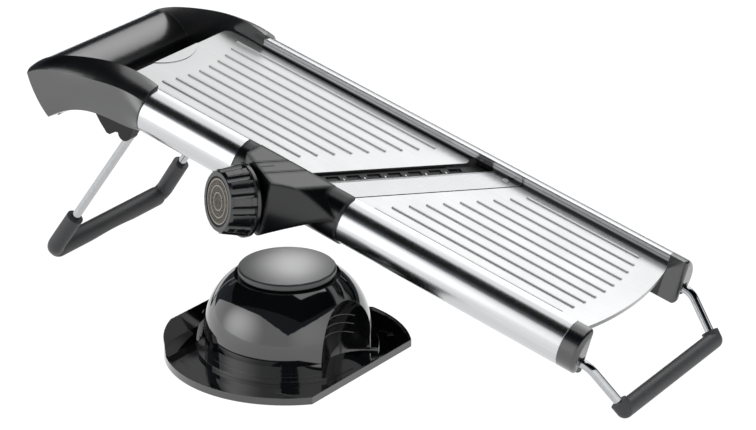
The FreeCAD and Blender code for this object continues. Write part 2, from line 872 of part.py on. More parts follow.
def rear_leg_points():
    points = []
    for side in (-1, 1):
        pivot = rear_pivot(side)
        run = [pivot + V(0, side * leg_pivot_reach, 0), pivot, rear_corner(side)]
        points += run if side < 0 else run[::-1]
    return points


def rear_leg_wire():
    return bent_rod(rear_leg_points(), [pivot_bend, wire_bend, wire_bend, pivot_bend], wire_radius)


def rear_leg_foot():
    """Rubber sleeve over the bar and both corners, thicker along the bar, arched underneath."""
    corners = [rear_corner(side) for side in (-1, 1)]
    share = (rear_sleeve_top - foot_height) / (leg_pivot[1] - foot_height)
    tops = [rear_corner(side) + (rear_pivot(side) - rear_corner(side)) * share for side in (-1, 1)]
    path = [tops[0], corners[0], corners[1], tops[1]]
    sleeve = bent_rod(path, [wire_bend, wire_bend], rear_sleeve_radius)
    ends = [corner - V(0, side * rear_bar_end, 0) for corner, side in zip(corners, (-1, 1))]
    bar = rod(rear_bar_radius, ends[0], ends[1])
    balls = [Part.makeSphere(rear_bar_radius, end) for end in ends]
    arch_radius = (rear_arch_half ** 2 + rear_arch_height ** 2) / (2 * rear_arch_height)
    arch_middle = V(rear_bar_x, 0, rear_arch_height - arch_radius)
    reach = V(2 * rear_bar_radius, 0, 0)
    arch = rod(arch_radius, arch_middle - reach, arch_middle + reach)
    body = sleeve.multiFuse([bar] + balls).cut(block(-far, far, -far, far, -far, 0)).cut(arch)
    bends = [pivot_bend, wire_bend, wire_bend, pivot_bend]
    return body.cut(bent_rod(rear_leg_points(), bends, wire_radius + sleeve_clearance))


def leg_bracket(side, handle_body):
    """Lug under the handle arm that holds one end of the rear leg."""
    inner = leg_inner + wire_radius + bracket_inner_gap
    start = min(side * inner, side * (inner + bracket_width))
    outline = [V(x, start, deck_height + rise) for x, rise in bracket_side + bracket_front]
    lug = prism(outline, V(0, bracket_width, 0))
    pivot = V(leg_pivot[0], start, leg_pivot[1])
    boss = rod(bracket_boss_radius, pivot, pivot + V(0, bracket_width, 0))
    end = V(leg_pivot[0], side * (leg_inner + leg_pivot_reach + bracket_inner_gap), leg_pivot[1])
    bore = rod(wire_radius + pivot_clearance, V(leg_pivot[0], 0, leg_pivot[1]), end)
    return lug.fuse(boss).cut(handle_body).cut(bore)


def front_corner(side):
    """World point where the front wire turns along the bar."""
    pivot = lean(front_pivot_u, 0, -front_pivot_drop)
    return V(pivot.x + front_bar_forward, side * front_bar_half, front_foot_height)


def front_foot_points():
    points = []
    for side in (-1, 1):
        middle = side * front_wire_v
        run = [
            lean(front_pivot_u, middle + side * front_pivot_reach, -front_pivot_drop),
            lean(front_pivot_u, middle, -front_pivot_drop),
            lean(front_knee_u, middle, -front_pivot_drop),
            front_corner(side),
        ]
        points += run if side < 0 else run[::-1]
    return points


def front_bends():
    half = [pivot_bend, front_knee_bend, front_corner_bend]
    return half + half[::-1]


def front_foot_wire():
    return bent_rod(front_foot_points(), front_bends(), wire_radius)


def front_foot_sleeve():
    """Rubber tube on the front bar and both its corners, with a flat underside."""
    points = front_foot_points()
    near_knee, near_corner, far_corner, far_knee = points[2:6]
    pieces = []
    for corner, knee in ((near_corner, near_knee), (far_corner, far_knee)):
        stub_end = corner + (knee - corner).normalize() * front_sleeve_stub
        pieces += [Part.makeSphere(front_sleeve_radius, corner), rod(front_sleeve_radius, corner, stub_end)]
    sleeve = rod(front_sleeve_radius, near_corner, far_corner).multiFuse(pieces)
    sleeve = sleeve.cut(block(-far, 2 * far, -far, far, -far, 0))
    return sleeve.cut(bent_rod(points, front_bends(), wire_radius + sleeve_clearance))


def brim_block(inset, low, high):
    """Brim outline: a disc with two straight sides and one trimmed corner, set in by a margin."""
    disc = Part.makeCylinder(brim_radius - inset, high - low, V(0, 0, low))
    disc = disc.common(block(-brim_left + inset, brim_right - inset, -far, far, low, high))
    trim = block(brim_trim_distance - inset, far, -far, far, low, high)
    trim.rotate(V(0, 0, 0), V(0, 0, 1), brim_trim_angle)
    return disc.cut(trim)


def on_table(shape):
    """Stand a food holder piece where the photo shows it."""
    shape.rotate(V(0, 0, 0), V(0, 0, 1), holder_turn)
    shape.translate(V(holder_at[0], holder_at[1], 0))
    return shape


def raised_side(inset, low, high):
    """Raised left part of the brim with a leaning step, kept clear of the dome's flange."""
    foot = -raised_from - inset
    slope = [V(-far, -far, low), V(foot, -far, low), V(foot - raised_run, -far, high), V(-far, -far, high)]
    side = brim_block(inset, low, high).common(prism(slope, V(0, far + raised_end - inset, 0)))
    return side.cut(Part.makeCylinder(dome_flange + raised_gap + inset, high - low, V(0, 0, low)))


def holder_base():
    """Brim with a skirt, a raised rim and one raised side, open in the middle between the scoops."""
    raised_top = brim_top + raised_height
    skin = brim_top - brim_sheet
    body = brim_block(0, 0, brim_top).fuse(raised_side(0, brim_top, raised_top))
    rim = brim_block(0, brim_top, brim_top + rim_height)
    body = body.fuse(rim.cut(brim_block(rim_width, brim_top, brim_top + rim_height)))
    hollow = brim_block(brim_sheet, 0, skin).fuse(raised_side(brim_sheet, 0, raised_top - brim_sheet))
    opening = Part.makeCylinder(food_opening, far, V(0, 0, -far / 2))
    for side in (-1, 1):
        scoop_foot = Part.makeCylinder(scoop_radius + dome_wall, far, V(side * scoop_at, 0, -far / 2))
        opening = opening.cut(scoop_foot)
    return on_table(body.cut(hollow).cut(opening))


def dome_solid(radius, shoulder, low):
    """Solid of revolution: straight wall, then a round top up to a flat shoulder."""
    top = dome_centre + math.sqrt(radius * radius - shoulder * shoulder)
    half_angle = (math.acos(shoulder / radius)) / 2
    bulge = radius - dome_flatten
    middle = V(bulge * math.cos(half_angle), 0, dome_centre + bulge * math.sin(half_angle))
    curve = Part.Arc(V(radius, 0, dome_centre), middle, V(shoulder, 0, top)).toShape()
    rest = Part.makePolygon([V(shoulder, 0, top), V(0, 0, top), V(0, 0, low), V(radius, 0, low),
                             V(radius, 0, dome_centre)])
    return Part.Face(Part.Wire([curve] + rest.Edges)).revolve(V(0, 0, 0), V(0, 0, 1), 360)


def scoop(side, grow):
    """Rounded bullet that hollows one finger grip in the dome."""
    radius = scoop_radius + grow
    top = scoop_top + grow
    middle = V(radius * math.cos(math.pi / 4), 0, top * math.sin(math.pi / 4))
    curve = Part.Arc(V(radius, 0, 0), middle, V(0, 0, top)).toShape()
    rest = Part.makePolygon([V(0, 0, top), V(0, 0, 0), V(radius, 0, 0)])
    bullet = Part.Face(Part.Wire([curve] + rest.Edges)).revolve(V(0, 0, 0), V(0, 0, 1), 360)
    bullet.translate(V(side * scoop_at, 0, brim_top - grow))
    return bullet


def dome_top():
    return dome_centre + math.sqrt(dome_radius * dome_radius - dome_shoulder * dome_shoulder)


def holder_dome():
    """Thin dome with two finger scoops, a foot flange and a round hole for the pusher."""
    outer = dome_solid(dome_radius, dome_shoulder, brim_top)
    inner = dome_solid(dome_radius - dome_wall, dome_shoulder, brim_top)
    ceiling = dome_top() - dome_wall
    inner = inner.common(Part.makeCylinder(dome_radius, ceiling - brim_top, V(0, 0, brim_top)))
    flange = Part.makeCylinder(dome_flange, flange_height, V(0, 0, brim_top))
    for side in (-1, 1):
        outer = outer.cut(scoop(side, 0))
        inner = inner.cut(scoop(side, dome_wall))
        flange = flange.cut(scoop(side, 0))
    flange = flange.common(brim_block(rim_width + flange_gap, brim_top, brim_top + flange_height))
    flange = flange.cut(Part.makeCylinder(dome_radius - dome_wall, flange_height, V(0, 0, brim_top)))
    hole = Part.makeCylinder(pusher_radius + pusher_clearance, far, V(0, 0, brim_top))
    return on_table(outer.cut(inner).fuse(flange).cut(hole))


def cap_underside():
    return dome_top() + cap_gap


def pusher_cap():
    """Round cap with a softened edge and a low crown."""
    low = cap_underside()
    edge_top = low + cap_thickness
    crown_radius = cap_radius - cap_edge
    ball_radius = (crown_radius ** 2 + cap_crown ** 2) / (2 * cap_crown)
    ball = Part.makeSphere(ball_radius, V(0, 0, edge_top + cap_crown - ball_radius))
    outline = Part.makePolygon([
        V(0, 0, edge_top + cap_crown), V(0, 0, low), V(crown_radius, 0, low),
        V(cap_radius, 0, low + cap_edge), V(cap_radius, 0, edge_top - cap_edge),
        V(crown_radius, 0, edge_top), V(crown_radius, 0, edge_top + cap_crown),
        V(0, 0, edge_top + cap_crown)])
    disc = Part.Face(outline).revolve(V(0, 0, 0), V(0, 0, 1), 360)
    return on_table(disc.common(ball))


def pusher_stem():
    low = plate_bottom + plate_thickness
    height = cap_underside() - low
    tube = Part.makeCylinder(pusher_radius, height, V(0, 0, low))
    return on_table(tube.cut(Part.makeCylinder(pusher_radius - pusher_wall, height, V(0, 0, low))))


def pusher_plate():
    return on_table(Part.makeCylinder(plate_radius, plate_thickness, V(0, 0, plate_bottom)))


def pusher_pins():
    """Pointed spikes under the plate: one in the middle and a ring of equal ones."""
    places = [(0, 0)]
    for k in range(pin_ring_count):
        angle = 2 * math.pi * k / pin_ring_count
        places.append((pin_ring * math.cos(angle), pin_ring * math.sin(angle)))
    pins = []
    for x, y in places:
        shank = Part.makeCylinder(pin_radius, pin_length - pin_tip, V(x, y, plate_bottom), V(0, 0, -1))
        tip_base = V(x, y, plate_bottom - pin_length + pin_tip)
        tip = Part.makeCone(pin_radius, pin_radius / 4, pin_tip, tip_base, V(0, 0, -1))
        pins.append(shank.fuse(tip))
    return on_table(Part.makeCompound(pins))


def build():
    handle_body = handle()
    return {
        "near_rail": rail(-1),
        "far_rail": rail(1),
        "handle": handle_body,
        "near_end_cap": end_cap(-1),
        "far_end_cap": end_cap(1),
        "feeder_deck": feeder_deck(),
        "feeder_frame": feeder_frame(),
        "hinge_pin": hinge_pin(),
        "outlet_deck": outlet_deck(),
        "blade": blade(),
        "blade_screw": blade_screw(),
        "blade_bed": blade_bed(),
        "julienne_bar": julienne_bar(),
        "julienne_comb": julienne_comb(),
        "knob_housing": knob_housing(),
        "thickness_knob": thickness_knob(),
        "knob_badge": knob_badge(),
        "cam_shaft": cam_shaft(),
        "near_cam": cam(near_cam_at),
        "far_cam": cam(far_cam_at),
        "shaft_bearing": shaft_bearing(),
        "near_leg_bracket": leg_bracket(-1, handle_body),
        "far_leg_bracket": leg_bracket(1, handle_body),
        "rear_leg_wire": rear_leg_wire(),
        "rear_leg_foot": rear_leg_foot(),
        "front_foot_wire": front_foot_wire(),
        "front_foot_sleeve": front_foot_sleeve(),
        "holder_base": holder_base(),
        "holder_dome": holder_dome(),
        "pusher_cap": pusher_cap(),
        "pusher_stem": pusher_stem(),
        "pusher_plate": pusher_plate(),
        "pusher_pins": pusher_pins(),
    }


def export(pieces):
    """Put the origin under the middle of the whole set and write one file for each piece."""
    os.makedirs("parts", exist_ok=True)
    whole = Part.makeCompound(list(pieces.values())).optimalBoundingBox()
    shift = V(-whole.Center.x, -whole.Center.y, -whole.ZMin)
    for name, shape in pieces.items():
        shape.translate(shift)
        shape.exportStep("parts/" + name + ".step")
    print("origin moved by", shift)


export(build())
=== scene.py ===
import json
import math

import bpy
from mathutils import Matrix, Vector
from mathutils.bvhtree import BVHTree


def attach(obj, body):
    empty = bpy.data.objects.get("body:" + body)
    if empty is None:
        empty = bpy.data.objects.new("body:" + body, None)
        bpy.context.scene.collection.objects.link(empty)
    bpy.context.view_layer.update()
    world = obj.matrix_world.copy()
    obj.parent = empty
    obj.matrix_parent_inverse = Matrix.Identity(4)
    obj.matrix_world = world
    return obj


# Looks of the mandoline slicer: materials, small moulded details, studio and camera, in metres.

# Camera, matched to the photo
camera_place = (0.87065, -1.29062, 0.71690)
camera_target = (0.00876, 0.03856, 0.06000)
camera_roll = math.radians(0.2)
camera_lens = 136.66
camera_reach = 50.0
sensor_width = 36.0

# Deck, drive and food holder as they stand in the CAD frame
deck_slope = math.radians(15.25)
deck_origin = Vector((-0.115451, 0.0437, 0.1305))
deck_normal = Vector((math.sin(deck_slope), 0.0, math.cos(deck_slope)))
deck_drop = 0.0063
cut_turn = math.radians(29.0)
shaft_s = 0.1189
shaft_drop = 0.021
knob_middle_t = -0.0395
knob_radius = 0.0205
holder_centre = Vector((-0.000951, -0.0428, 0.0))
holder_turn = math.radians(-3.2)
cap_height = 0.057

# Noise: the part of its range that it fills, its detail and the size of its clouds
noise_range = (0.3, 0.7)
grain_detail = 4.0
mould_detail = 3.0
badge_detail = 2.0
metal_cloud = 40.0
deck_cloud = 35.0
mould_cloud = 30.0
brush_strength = 0.5

# Softened edges
black_edge_radius = 0.0004
housing_edge_radius = 0.0036
metal_edge_radius = 0.0002
rail_edge_radius = 0.0007
bevel_samples = 4
smooth_angle = math.radians(32)

# Far rail's inner wall: how far its faces look along y, and the painted shade and reflections, as tones from
# the deck to the rail's top
inner_wall_facing = (-0.90, -0.97)
inner_wall_blue = 1.03
inner_wall_shade_and_reflection_stops = [(0.0, 0.05), (0.22, 0.06), (0.32, 0.62), (0.46, 0.68), (0.54, 0.36),
                    (0.66, 0.95), (0.80, 0.80), (0.92, 0.24), (1.0, 0.34)]

# Flanks of the deck's ridges: how far they look along y, and their painted shade
flank_facing = (-0.35, -0.60)
flank_painted_shade = (0.290, 0.294, 0.300)

# Badge: radius of each turned ring, a ring's full and faded half width, the dark rim's start, tones
badge_rings = (0.0052, 0.0093, 0.0131)
badge_line = (0.0001, 0.0004)
badge_edge = (0.0136, 0.0139)
badge_grain = 1100.0
badge_depth = 0.00006
badge_dark = (0.016, 0.015, 0.014)
badge_light = (0.17, 0.155, 0.135)
badge_ring_tone = (0.40, 0.37, 0.32)
badge_rim_tone = (0.006, 0.006, 0.007)
badge_rough = 0.46
badge_ring_rough = 0.28

# Width, rise and sink of each kind of bead, and the place of a bead's shoulders as shares of width and rise
pad_bead = (0.0005, 0.00018, 0.0001)
digit_bead = (0.00045, 0.00012, 0.0001)
seam_bead = (0.0005, 0.00003, 0.0002)
slot_bead = (0.0011, 0.00004, 0.0002)
rib_bead = (0.0006, 0.0003, 0.0001)
arrow_bead = (0.0005, 0.00022, 0.0001)
bead_shoulder = 0.38
bead_shoulder_rise = 0.75

# Distance from which points are dropped onto the knob, the housing and the brim
knob_ray = 0.05
housing_ray = 0.03
brim_ray = 0.05

# Knob marks
pad_count = 12
pad_half_angle = math.radians(7.0)
pad_front_t = -0.0455
pad_back_t = -0.0335
pad_corner = 0.001
pad_corner_share = 0.4
digit_size = (0.0017, 0.0028)
digit_every = 2
digit_strokes = {
    "1": [(0.5, 0), (0.5, 1), (0.2, 0.75)],
    "2": [(0, 0.8), (0.3, 1), (0.8, 0.95), (1, 0.7), (0, 0), (1, 0)],
    "3": [(0, 1), (1, 1), (0.45, 0.58), (1, 0.35), (0.7, 0.02), (0, 0.1)],
    "4": [(0.75, 0), (0.75, 1), (0, 0.32), (1, 0.32)],
    "5": [(1, 1), (0.1, 1), (0.05, 0.55), (0.7, 0.6), (1, 0.3), (0.7, 0.02), (0, 0.05)],
    "6": [(0.8, 1), (0.2, 0.6), (0, 0.25), (0.5, 0), (1, 0.25), (0.6, 0.52), (0.1, 0.4)],
}

# Housing marks, along the cam shaft's direction
seam_offset = 0.0057
seam_start_t = -0.0228
seam_end_v = -0.0567
seam_steps = 24
slot_start_t = -0.0222
slot_end_t = -0.0135
slot_steps = 8

# Food holder marks; each arrow has its place and its turn in degrees
scoop_at = 0.057
rib_heights = (0.0185, 0.0245, 0.0305)
rib_half_angle = math.radians(38)
rib_sag = 0.0035
rib_steps = 16
arrow_length = 0.011
arrow_head = 0.0028
arrow_spread = 0.7
arrow_bow = 0.0012
arrow_steps = 8
arrow_places = [(-0.0595, -0.002, 100.0), (-0.032, -0.0545, 150.0),
                (0.0375, -0.0520, 185.0), (0.036, 0.0475, 0.0)]

# Floor and world
floor_size = 12.0
floor_white = 0.60
floor_rough = 0.10
floor_shine = 0.5
floor_glow = 1.25
floor_glow_share = 0.80
mirror_glow_share = 0.75
world_tone = (0.060, 0.068, 0.080)

# Walls of light from a corner behind the camera, each top given as shares of the length and heights
wall_corner = (1.064, -1.577)
wall_height = 0.60
left_wall_end = (-3.300, 0.350)
left_wall_top = [(0.0, wall_height), (0.30, 0.90), (1.0, 0.45)]
left_wall_glow = {"spot": (0.393, 0.35), "reach": 0.8, "edge": 1.0, "peak": 3.0}
right_wall_end = (1.100, 1.300)
right_wall_top = [(0.0, wall_height), (1.0, 0.95)]
right_wall_glow = {"spot": (0.35, 0.45), "reach": 1.2, "edge": 1.0, "peak": 1.4}

# Panel that leans over from the back: x of its sides, y and z of its front and rear edges
back_sides = (-0.75, 0.45)
back_front = (-0.05, 1.40)
back_rear = (2.00, 0.45)
back_glow = {"spot": (-0.05, 0.95, 0.94), "reach": 0.8, "edge": 1.15, "peak": 2.35}

# Ceiling that lights the flat steel alone
ceiling_sides = (-3.0, 1.8)
ceiling_front = (-1.2, 1.6)
ceiling_rear = (3.4, 1.6)
ceiling_glow = {"spot": (-0.2, 0.0, 1.6), "reach": 1.8, "edge": 0.6, "peak": 1.0}
ceiling_lit = ["feeder_deck", "outlet_deck", "blade"]

# Lamp that lights the food holder's cap alone
cap_lamp_place = (-0.407, 0.561, 0.390)
cap_lamp_size = 0.07
cap_lamp_power = 0.62
cap_lamp_lit = ["pusher_cap"]


def deck_point(u, v, w):
    """Point given along the deck, across it and above it."""
    along = Vector((math.cos(deck_slope), 0, -math.sin(deck_slope)))
    return deck_origin + along * u + Vector((0, v, 0)) + deck_normal * w


def cut_point(s, t, w):
    """Point given across the blade, along it and above the deck's datum."""
    u = s * math.cos(cut_turn) + t * math.sin(cut_turn)
    v = t * math.cos(cut_turn) - s * math.sin(cut_turn)
    return deck_point(u, v, w)


def shaft_axis():
    """Direction of the cam shaft, inwards from the knob."""
    return (cut_point(shaft_s, 0, 0) - cut_point(shaft_s, -1, 0)).normalized()


def holder_point(x, y, z):
    """Point given in the food holder's own directions."""
    return holder_centre + Matrix.Rotation(holder_turn, 3, "Z") @ Vector((x, y, z))


def node(tree, kind, inputs=None, **settings):
    """New shader node: each input is linked from a socket or set to a value."""
    made = tree.nodes.new(kind)
    for name, value in settings.items():
        setattr(made, name, value)
    for name, value in (inputs or {}).items():
        if isinstance(value, bpy.types.NodeSocket):
            tree.links.new(value, made.inputs[name])
        else:
            made.inputs[name].default_value = value
    return made


def maths(tree, operation, *inputs):
    return node(tree, "ShaderNodeMath", dict(enumerate(inputs)), operation=operation).outputs["Value"]


def vector_maths(tree, operation, *inputs):
    made = node(tree, "ShaderNodeVectorMath", dict(enumerate(inputs)), operation=operation)
    return made.outputs["Vector" if operation in ("SUBTRACT", "CROSS_PRODUCT") else "Value"]


def own_place(tree):
    """Place on the object in its own space."""
    return node(tree, "ShaderNodeTexCoord").outputs["Object"]


def facing_y(tree):
    """How far a face looks along y."""
    normal = node(tree, "ShaderNodeNewGeometry").outputs["True Normal"]
    return node(tree, "ShaderNodeSeparateXYZ", {0: normal}).outputs["Y"]


def new_surface(name, settings):
    """Material with a principled shader whose sockets are set by name."""
    material = bpy.data.materials.new(name)
    material.use_nodes = True
    surface = material.node_tree.nodes["Principled BSDF"]
    for socket, value in settings.items():
        surface.inputs[socket].default_value = value
    return material, material.node_tree, surface


def grain(tree, scale, stretch=(1, 1, 1), detail=grain_detail):
    """Noise in the object's own space, turned to the deck's slope and drawn out along its axes."""
    turned = node(tree, "ShaderNodeMapping", {
        "Vector": own_place(tree), "Rotation": (0, deck_slope, 0), "Scale": stretch,
    }, vector_type="TEXTURE")
    return node(tree, "ShaderNodeTexNoise", {
        "Vector": turned.outputs["Vector"], "Scale": scale, "Detail": detail,
    }).outputs["Fac"]


def ramp(tree, value, start, end, low, high, smooth=False):
    """Value taken from one range to another and held at its ends."""
    return node(tree, "ShaderNodeMapRange", {
        "Value": value, "From Min": start, "From Max": end, "To Min": low, "To Max": high,
    }, interpolation_type="SMOOTHSTEP" if smooth else "LINEAR").outputs["Result"]


def spread(tree, value, low, high):
    """Noise, which stays near its middle, spread between two values."""
    return ramp(tree, value, noise_range[0], noise_range[1], low, high)


def rounded(tree, radius):
    """Normal that softens sharp edges as a mould or a press does."""
    return node(tree, "ShaderNodeBevel", {"Radius": radius}, samples=bevel_samples).outputs["Normal"]


def bumped(tree, height, depth, normal, strength=1.0):
    return node(tree, "ShaderNodeBump", {
        "Height": height, "Distance": depth, "Strength": strength, "Normal": normal,
    }).outputs["Normal"]


def mixed(tree, factor, first, second):
    """Colour between two, each a socket or a tone."""
    mix = tree.nodes.new("ShaderNodeMix")
    mix.data_type = "RGBA"
    sockets = [socket for socket in mix.inputs if socket.type == "RGBA"]
    tree.links.new(factor, mix.inputs[0])
    for socket, value in zip(sockets, (first, second)):
        if isinstance(value, bpy.types.NodeSocket):
            tree.links.new(value, socket)
        else:
            socket.default_value = (*value, 1)
    return [socket for socket in mix.outputs if socket.type == "RGBA"][0]


def brushed_metal(name, dark, light, rough, stretch, scale, depth,
                  edge=metal_edge_radius, clouds=metal_cloud):
    """Steel with fine lines along one direction and softened edges."""
    material, tree, surface = new_surface(name, {"Metallic": 1.0})
    lines = grain(tree, scale, stretch)
    cloud = grain(tree, clouds)
    tree.links.new(mixed(tree, spread(tree, lines, 0, 1), dark, light), surface.inputs["Base Color"])
    tree.links.new(spread(tree, cloud, rough[0], rough[1]), surface.inputs["Roughness"])
    normal = bumped(tree, lines, depth, rounded(tree, edge), brush_strength)
    tree.links.new(normal, surface.inputs["Normal"])
    return material


def bright_rail():
    return brushed_metal("bright_rail", dark=(0.60, 0.61, 0.62), light=(0.65, 0.66, 0.67),
                         rough=(0.19, 0.23), stretch=(60, 1, 1), scale=900.0, depth=0.000003,
                         edge=rail_edge_radius)


def inner_wall_shade_and_reflections(tree):
    """Paints shade and reflections on the rail's inner wall: a black painted shadow at its foot below the
    deck, soft streaks of painted reflection and a dark line under the top edge.
    """
    offset = vector_maths(tree, "SUBTRACT", own_place(tree), deck_origin)
    height = vector_maths(tree, "DOT_PRODUCT", offset, deck_normal)
    share = ramp(tree, height, -deck_drop, 0.0, 0.0, 1.0)
    tones = node(tree, "ShaderNodeValToRGB", {"Fac": share})
    stops = tones.color_ramp.elements
    for position, tone in inner_wall_shade_and_reflection_stops[1:-1]:
        stops.new(position)
    for stop, (position, tone) in zip(stops, inner_wall_shade_and_reflection_stops):
        stop.position = position
        stop.color = (tone, tone, tone * inner_wall_blue, 1)
    return tones.outputs["Color"]


def paint_shade_by_facing(material, facing, tone):
    """Paints light and shade as another tone on the faces of a metal that look far enough along y."""
    tree = material.node_tree
    base = tree.nodes["Principled BSDF"].inputs["Base Color"]
    share = ramp(tree, facing_y(tree), facing[0], facing[1], 0.0, 1.0)
    own_tone = base.links[0].from_socket
    tree.links.new(mixed(tree, share, own_tone, tone), base)


def far_rail_steel_painted_shade():
    """Bright rail whose flat inner wall carries painted shade and painted streaks of reflection along its
    length.
    """
    material = bright_rail()
    material.name = "far_rail_steel_painted_shade"
    paint_shade_by_facing(material, inner_wall_facing, inner_wall_shade_and_reflections(material.node_tree))
    return material


def deck_steel():
    """Satin sheet whose ridge flanks carry painted shade, darker than the flat."""
    material = brushed_metal("deck_steel", dark=(0.480, 0.483, 0.487), light=(0.513, 0.516, 0.520),
                             rough=(0.26, 0.34), stretch=(80, 1, 1), scale=1100.0, depth=0.000004,
                             clouds=deck_cloud)
    # The ridge flanks take a painted shade.
    paint_shade_by_facing(material, flank_facing, flank_painted_shade)
    return material


def blade_steel():
    return brushed_metal("blade_steel", dark=(0.420, 0.423, 0.427), light=(0.450, 0.453, 0.457),
                         rough=(0.24, 0.30), stretch=(1, 40, 1), scale=1200.0, depth=0.000001)


def plain_steel():
    return brushed_metal("plain_steel", dark=(0.50, 0.51, 0.52), light=(0.58, 0.59, 0.60),
                         rough=(0.24, 0.36), stretch=(1, 30, 1), scale=800.0, depth=0.000004)


def chrome_wire():
    return brushed_metal("chrome_wire", dark=(0.44, 0.45, 0.46), light=(0.50, 0.51, 0.52),
                         rough=(0.08, 0.12), stretch=(1, 1, 1), scale=500.0, depth=0.000001)


def badge_metal():
    """Bronze-grey disc with bright turned rings and fine dark grain between them."""
    material, tree, surface = new_surface("badge_metal", {"Metallic": 1.0})
    middle = cut_point(shaft_s, knob_middle_t, -shaft_drop)
    offset = vector_maths(tree, "SUBTRACT", own_place(tree), middle)
    across = vector_maths(tree, "CROSS_PRODUCT", offset, shaft_axis())
    radius = vector_maths(tree, "LENGTH", across)
    ring_share = 0.0
    for ring in badge_rings:
        distance = maths(tree, "ABSOLUTE", maths(tree, "SUBTRACT", radius, ring))
        line = ramp(tree, distance, badge_line[0], badge_line[1], 1.0, 0.0)
        ring_share = maths(tree, "MAXIMUM", ring_share, line)
    specks = grain(tree, badge_grain, detail=badge_detail)
    field = mixed(tree, spread(tree, specks, 0, 1), badge_dark, badge_light)
    face = mixed(tree, ring_share, field, badge_ring_tone)
    edge = ramp(tree, radius, badge_edge[0], badge_edge[1], 0.0, 1.0)
    tree.links.new(mixed(tree, edge, face, badge_rim_tone), surface.inputs["Base Color"])
    rough = ramp(tree, ring_share, 0, 1, badge_rough, badge_ring_rough)
    tree.links.new(rough, surface.inputs["Roughness"])
    height = maths(tree, "ADD", ring_share, specks)
    normal = bumped(tree, height, badge_depth, rounded(tree, metal_edge_radius))
    tree.links.new(normal, surface.inputs["Normal"])
    return material


def moulded(name, dark, light, rough, fine, depth, shine, edge=black_edge_radius, coat=0.0):
    """Plastic or rubber with a moulded grain, softened edges and a coat where it is polished."""
    material, tree, surface = new_surface(name, {
        "Specular IOR Level": shine, "Coat Weight": coat, "Coat Roughness": rough[0],
    })
    speckle = grain(tree, fine, detail=mould_detail)
    cloud = grain(tree, mould_cloud)
    tree.links.new(mixed(tree, spread(tree, cloud, 0, 1), dark, light), surface.inputs["Base Color"])
    tree.links.new(spread(tree, cloud, rough[0], rough[1]), surface.inputs["Roughness"])
    normal = bumped(tree, speckle, depth, rounded(tree, edge))
    tree.links.new(normal, surface.inputs["Normal"])
    return material


def satin_black():
    return moulded("satin_black", dark=(0.0040, 0.0046, 0.0056), light=(0.0060, 0.0067, 0.0078),
                   rough=(0.22, 0.27), fine=2600.0, depth=0.000003, shine=1.0, coat=0.9)


def gloss_black():
    return moulded("gloss_black", dark=(0.0035, 0.0038, 0.0045), light=(0.0050, 0.0054, 0.0062),
                   rough=(0.03, 0.06), fine=120.0, depth=0.000003, shine=1.0, coat=0.7)


def housing_black():
    return moulded("housing_black", dark=(0.0030, 0.0036, 0.0046), light=(0.0048, 0.0055, 0.0066),
                   rough=(0.14, 0.18), fine=900.0, depth=0.000002, shine=0.65, edge=housing_edge_radius)


def knob_black():
    return moulded("knob_black", dark=(0.0035, 0.0042, 0.0054), light=(0.0055, 0.0063, 0.0076),
                   rough=(0.15, 0.20), fine=900.0, depth=0.000002, shine=0.9)


def inner_black():
    return moulded("inner_black", dark=(0.006, 0.006, 0.007), light=(0.011, 0.011, 0.012),
                   rough=(0.42, 0.55), fine=2200.0, depth=0.000010, shine=0.35)


def foot_rubber():
    return moulded("foot_rubber", dark=(0.045, 0.046, 0.049), light=(0.060, 0.061, 0.065),
                   rough=(0.44, 0.54), fine=3000.0, depth=0.000010, shine=0.5)


def cap_grey():
    return moulded("cap_grey", dark=(0.020, 0.021, 0.024), light=(0.030, 0.032, 0.035),
                   rough=(0.29, 0.33), fine=1500.0, depth=0.000028, shine=1.0)


def mark_grey():
    return moulded("mark_grey", dark=(0.16, 0.15, 0.13), light=(0.24, 0.22, 0.19),
                   rough=(0.40, 0.50), fine=2000.0, depth=0.000004, shine=0.4)


def smooth_faces(thing):
    """Round faces shade smoothly and edges sharper than the angle stay crisp."""
    thing.data.shade_smooth()
    thing.data.set_sharp_from_angle(angle=smooth_angle)


def make_materials():
    makers = [bright_rail, far_rail_steel_painted_shade, deck_steel, blade_steel, plain_steel, satin_black, gloss_black,
              inner_black, badge_metal, chrome_wire, foot_rubber, cap_grey, housing_black, knob_black,
              mark_grey]
    return {maker.__name__: maker() for maker in makers}


def dress_nodes():
    """Every CAD node takes its slot's material, and a few take a variant of it; the leg brackets take the
    darker matte black as painted shade.
    """
    # The leg brackets' darker matte black is painted shade.
    variants = {"far_rail": "far_rail_steel_painted_shade", "knob_housing": "housing_black", "thickness_knob": "knob_black",
                "near_leg_bracket": "inner_black", "far_leg_bracket": "inner_black"}
    for subpart in frame["record"]["subparts"]:
        thing = frame["nodes"][subpart["node"]]
        name = variants.get(subpart["node"], subpart["material_slot"])
        smooth_faces(thing)
        thing.data.materials.clear()
        thing.data.materials.append(materials[name])


def surface_of(name):
    """Search tree over a CAD node's faces."""
    mesh = frame["nodes"][name].data
    return BVHTree.FromPolygons([v.co for v in mesh.vertices], [p.vertices for p in mesh.polygons])


def drop(tree, start, direction):
    """Point and outward normal where a ray from outside meets a surface, or nothing."""
    hit, normal, _, _ = tree.ray_cast(start, direction)
    if hit is None:
        return None
    if normal.dot(direction) > 0:
        normal = -normal
    return hit, normal


def bead(path, width, rise, sink):
    """Corners and faces of a low rounded bead laid along points that carry their normals."""
    corners, faces = [], []
    shoulder = rise * bead_shoulder_rise
    profile = [(-0.5, -sink), (-bead_shoulder, shoulder), (0.0, rise),
               (bead_shoulder, shoulder), (0.5, -sink)]
    last = len(path) - 1
    for i, (place, normal) in enumerate(path):
        run = path[min(i + 1, last)][0] - path[max(i - 1, 0)][0]
        side = normal.cross(run).normalized()
        corners += [place + side * width * across + normal * up for across, up in profile]
    count = len(profile)
    for i in range(last):
        for j in range(count):
            k = (j + 1) % count
            faces.append((i * count + j, i * count + k, (i + 1) * count + k, (i + 1) * count + j))
    faces.append(tuple(reversed(range(count))))
    faces.append(tuple(range(last * count, last * count + count)))
    return corners, faces


